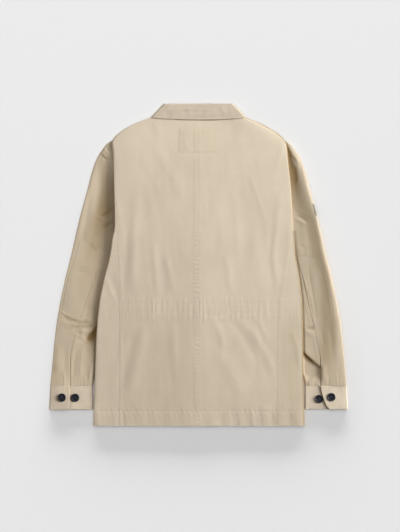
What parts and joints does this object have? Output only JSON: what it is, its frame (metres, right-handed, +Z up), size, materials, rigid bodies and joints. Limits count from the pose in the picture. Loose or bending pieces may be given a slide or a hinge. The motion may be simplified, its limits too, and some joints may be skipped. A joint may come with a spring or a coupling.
{
  "type": "safari jacket",
  "caption": "Beige cotton safari jacket laid out flat with its back up: turned-down collar, drawstring waist casing, elbow patches, vented sleeves with buttoned cuffs.",
  "frame": {"origin": "middle of the jacket's outline, on the surface that it lies on", "axes": "+Z up from the surface, +Y from the hem to the collar, +X to the right seen from above, which is the wearer's right because the back is up"},
  "size_m": [0.7315, 0.7875, 0.011],
  "materials": {
    "twill": "matt beige cotton twill with a fine diagonal rib",
    "badge_cloth": "matt olive-grey cloth",
    "button": "satin dark navy, four holes"
  },
  "bodies": {
    "root": {"back_left": "twill", "back_right": "twill", "side_left": "twill", "side_right": "twill", "front_left": "twill", "front_right": "twill", "topsleeve_left": "twill", "topsleeve_right": "twill", "undersleeve_left": "twill", "undersleeve_right": "twill", "elbow_patch_left": "twill", "elbow_patch_right": "twill", "vent_underlap_left": "twill", "vent_underlap_right": "twill", "cuff_left": "twill", "cuff_right": "twill", "waist_casing": "twill", "neck_patch": "twill", "collar_leaf": "twill", "collar_stand": "twill", "sleeve_badge": "badge_cloth", "cuff_left_button_overlap": "button", "cuff_left_button_spare": "button", "cuff_right_button_overlap": "button", "cuff_right_button_spare": "button", "front_button_1": "button", "front_button_2": "button", "front_button_3": "button", "front_button_4": "button", "front_button_5": "button"}
  },
  "joints": []
}
